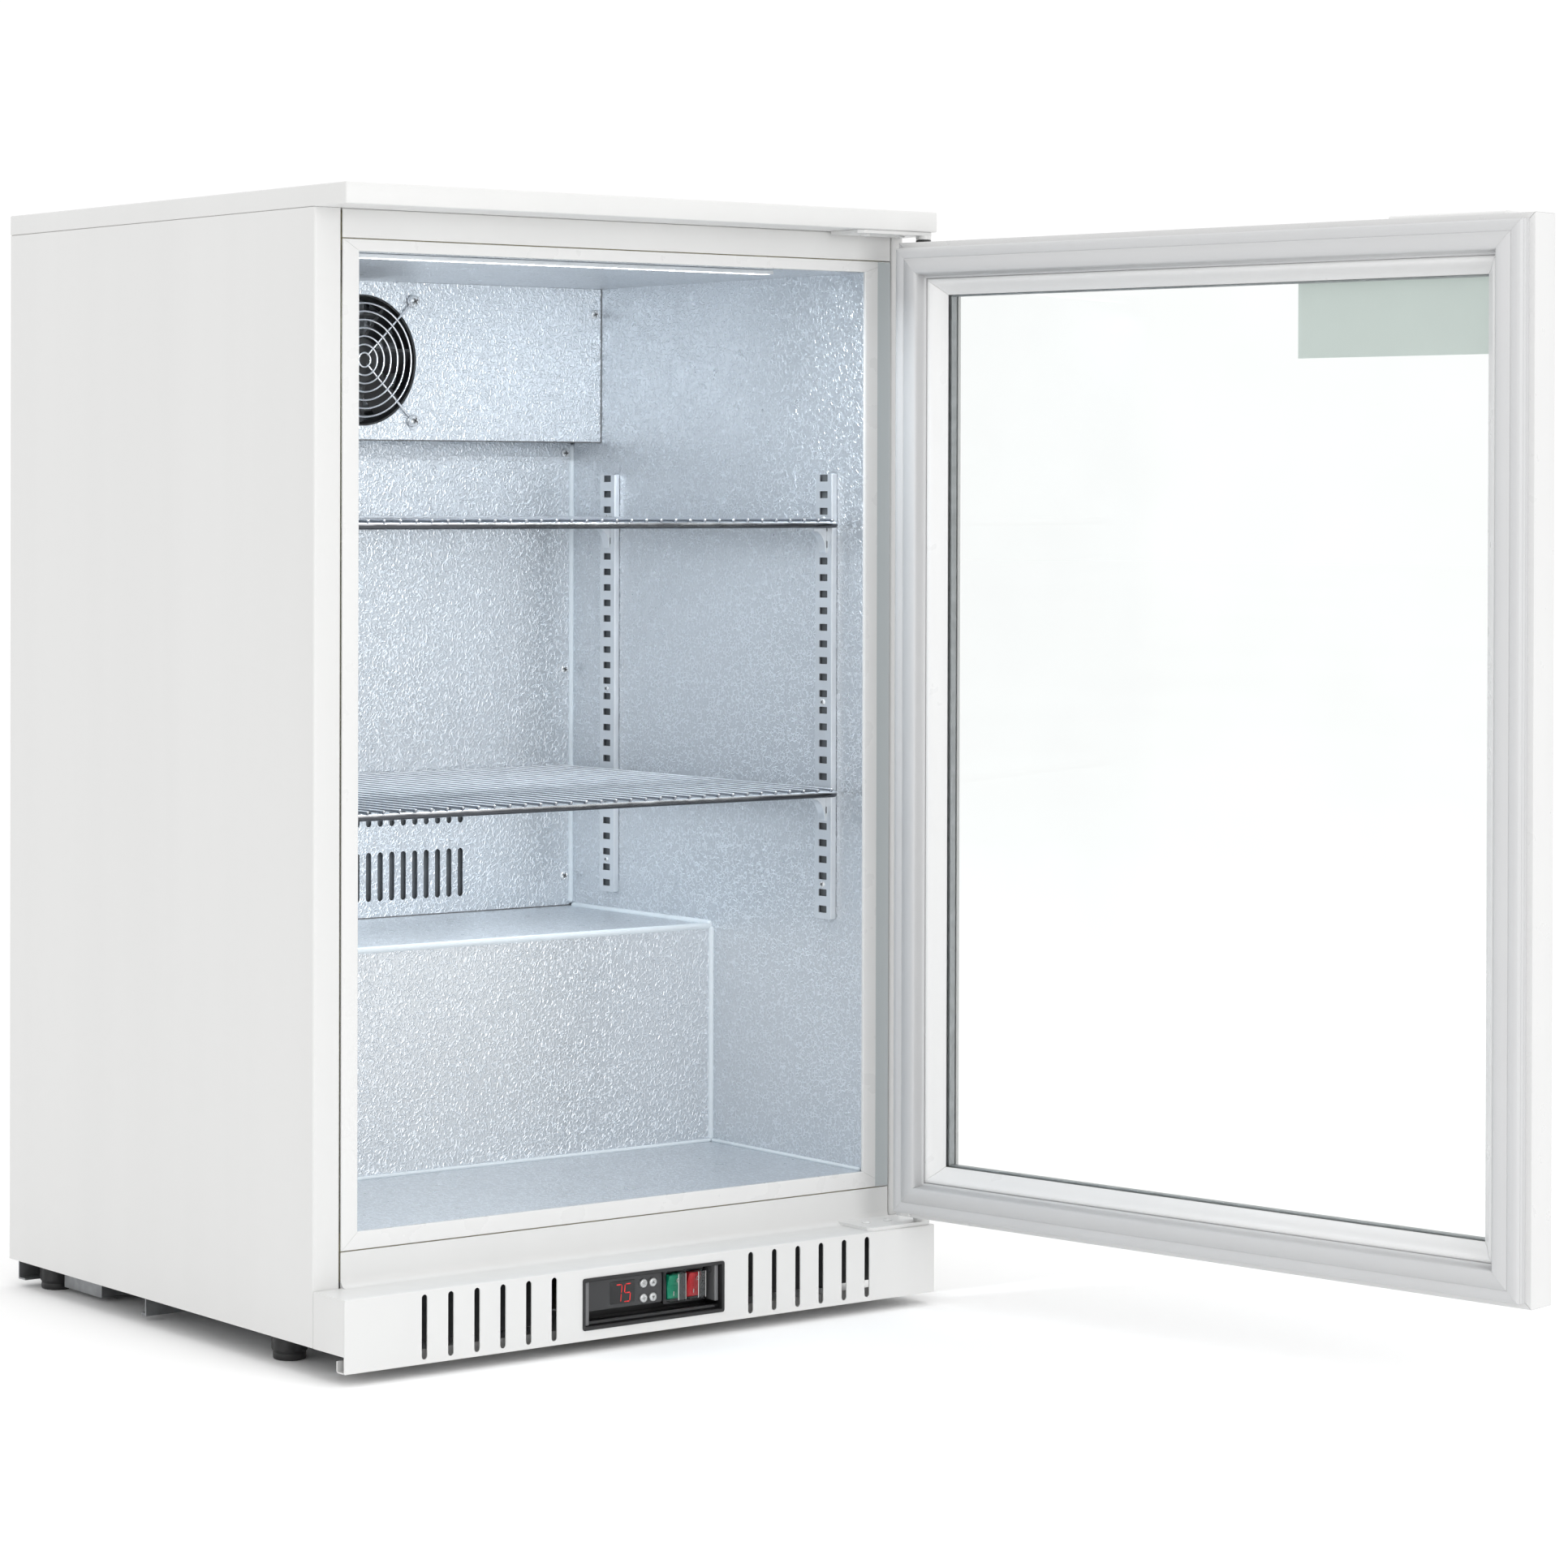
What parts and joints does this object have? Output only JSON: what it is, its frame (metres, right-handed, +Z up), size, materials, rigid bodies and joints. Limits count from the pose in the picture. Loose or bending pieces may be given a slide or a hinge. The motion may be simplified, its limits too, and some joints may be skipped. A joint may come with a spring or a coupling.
{
  "type": "undercounter refrigerator",
  "caption": "White single glass-door undercounter bottle cooler with wire shelves, lit stucco aluminium interior, fan-cooled evaporator and a kick grille with the controls.",
  "frame": {"origin": "floor level, at the centre of the cabinet's footprint", "axes": "+Z up, the door side faces -Y, the door's hinge is at +X"},
  "size_m": [0.7206, 1.0973, 0.92],
  "materials": {
    "white_paint": "satin",
    "white_plastic": "satin",
    "galvanised": "satin",
    "stucco_aluminium": "satin",
    "foam": "matte",
    "chrome": "polished",
    "rail_steel": "satin",
    "black_plastic": "satin",
    "black_gloss": "gloss",
    "coil_fins": "satin",
    "led_lens": "satin",
    "clear_cap": "gloss",
    "door_paint": "satin",
    "gasket": "matte",
    "glass": "gloss",
    "spacer": "satin",
    "label": "satin",
    "compressor_paint": "gloss",
    "shroud_steel": "satin",
    "copper": "satin",
    "green_rocker": "gloss",
    "red_rocker": "gloss",
    "button_silver": "gloss",
    "foot_rubber": "matte"
  },
  "bodies": {
    "cabinet": {"worktop": "white_paint", "side_panel_left": "white_paint", "side_panel_right": "white_paint", "rear_panel": "white_paint", "base_pan": "galvanised", "front_trim_panels": "white_paint", "breaker_frame": "white_plastic", "liner_left": "stucco_aluminium", "liner_right": "stucco_aluminium", "liner_ceiling": "stucco_aluminium", "liner_rear": "stucco_aluminium", "liner_floor": "stucco_aluminium", "insulation": "foam", "evaporator_cover": "stucco_aluminium", "duct_panel": "stucco_aluminium", "fan_guard": "chrome", "evaporator_fan_housing": "black_plastic", "evaporator_coil": "coil_fins", "led_profile": "rail_steel", "led_lens": "led_lens", "shelf_rails": "rail_steel", "shelf_clips": "rail_steel", "panel_screws": "chrome", "grille_panel": "white_paint", "control_housing": "black_plastic", "controller_body": "black_gloss", "rocker_bezels": "black_plastic", "rocker_covers": "clear_cap", "top_hinge_bracket": "white_paint", "bottom_hinge_bracket": "white_paint", "compressor": "compressor_paint", "condenser_coil": "coil_fins", "condenser_shroud": "shroud_steel", "refrigerant_pipes": "copper", "drip_tray": "galvanised", "power_inlet": "black_plastic", "base_brackets": "galvanised"},
    "door": {"door_frame": "door_paint", "door_gasket": "gasket", "inner_glass": "glass", "outer_glass": "glass", "glass_spacer": "spacer", "glazing_beads": "white_plastic", "door_handle": "white_plastic", "label_plate": "label", "hinge_bushes": "black_plastic"},
    "shelf_upper": {"shelf_upper": "chrome"},
    "shelf_lower": {"shelf_lower": "chrome"},
    "evaporator_fan": {"evaporator_fan_blades": "black_plastic"},
    "condenser_fan": {"condenser_fan_blades": "black_plastic"},
    "rocker_power": {"rocker_power": "green_rocker"},
    "rocker_light": {"rocker_light": "red_rocker"},
    "button_set": {"button_set": "button_silver"},
    "button_up": {"button_up": "button_silver"},
    "button_defrost": {"button_defrost": "button_silver"},
    "button_down": {"button_down": "button_silver"},
    "foot_front_left": {"foot_front_left": "foot_rubber"},
    "foot_front_right": {"foot_front_right": "foot_rubber"},
    "foot_rear_left": {"foot_rear_left": "foot_rubber"},
    "foot_rear_right": {"foot_rear_right": "foot_rubber"}
  },
  "joints": [
    {"name": "door_hinge", "type": "hinge", "parent": "cabinet", "child": "door", "pos_m": [0.291, -0.273, 0.48], "axis": [0, 0, 1], "range_deg": [-100.6, 14.4]},
    {"name": "shelf_upper_slide", "type": "slide", "parent": "cabinet", "child": "shelf_upper", "axis": [0, -1, 0], "range_m": [0, 0.3]},
    {"name": "shelf_lower_slide", "type": "slide", "parent": "cabinet", "child": "shelf_lower", "axis": [0, -1, 0], "range_m": [0, 0.3]},
    {"name": "evaporator_fan_spin", "type": "hinge", "parent": "cabinet", "child": "evaporator_fan", "pos_m": [0, 0.149, 0.8], "axis": [0, 1, 0], "continuous": true},
    {"name": "condenser_fan_spin", "type": "hinge", "parent": "cabinet", "child": "condenser_fan", "pos_m": [-0.209, 0.126, 0.129], "axis": [1, 0, 0], "continuous": true},
    {"name": "rocker_power_tilt", "type": "hinge", "parent": "cabinet", "child": "rocker_power", "pos_m": [0.027, -0.2675, 0.042], "axis": [1, 0, 0], "range_deg": [-16, 0]},
    {"name": "rocker_light_tilt", "type": "hinge", "parent": "cabinet", "child": "rocker_light", "pos_m": [0.0475, -0.2675, 0.042], "axis": [1, 0, 0], "range_deg": [-16, 0]},
    {"name": "button_set_press", "type": "slide", "parent": "cabinet", "child": "button_set", "axis": [0, 1, 0], "range_m": [0, 0.0008], "stiffness_N_per_m": 500},
    {"name": "button_up_press", "type": "slide", "parent": "cabinet", "child": "button_up", "axis": [0, 1, 0], "range_m": [0, 0.0008], "stiffness_N_per_m": 500},
    {"name": "button_defrost_press", "type": "slide", "parent": "cabinet", "child": "button_defrost", "axis": [0, 1, 0], "range_m": [0, 0.0008], "stiffness_N_per_m": 500},
    {"name": "button_down_press", "type": "slide", "parent": "cabinet", "child": "button_down", "axis": [0, 1, 0], "range_m": [0, 0.0008], "stiffness_N_per_m": 500},
    {"name": "foot_front_left_level", "type": "slide", "parent": "cabinet", "child": "foot_front_left", "axis": [0, 0, -1], "range_m": [0, 0.012]},
    {"name": "foot_front_right_level", "type": "slide", "parent": "cabinet", "child": "foot_front_right", "axis": [0, 0, -1], "range_m": [0, 0.012]},
    {"name": "foot_rear_left_level", "type": "slide", "parent": "cabinet", "child": "foot_rear_left", "axis": [0, 0, -1], "range_m": [0, 0.012]},
    {"name": "foot_rear_right_level", "type": "slide", "parent": "cabinet", "child": "foot_rear_right", "axis": [0, 0, -1], "range_m": [0, 0.012]}
  ]
}
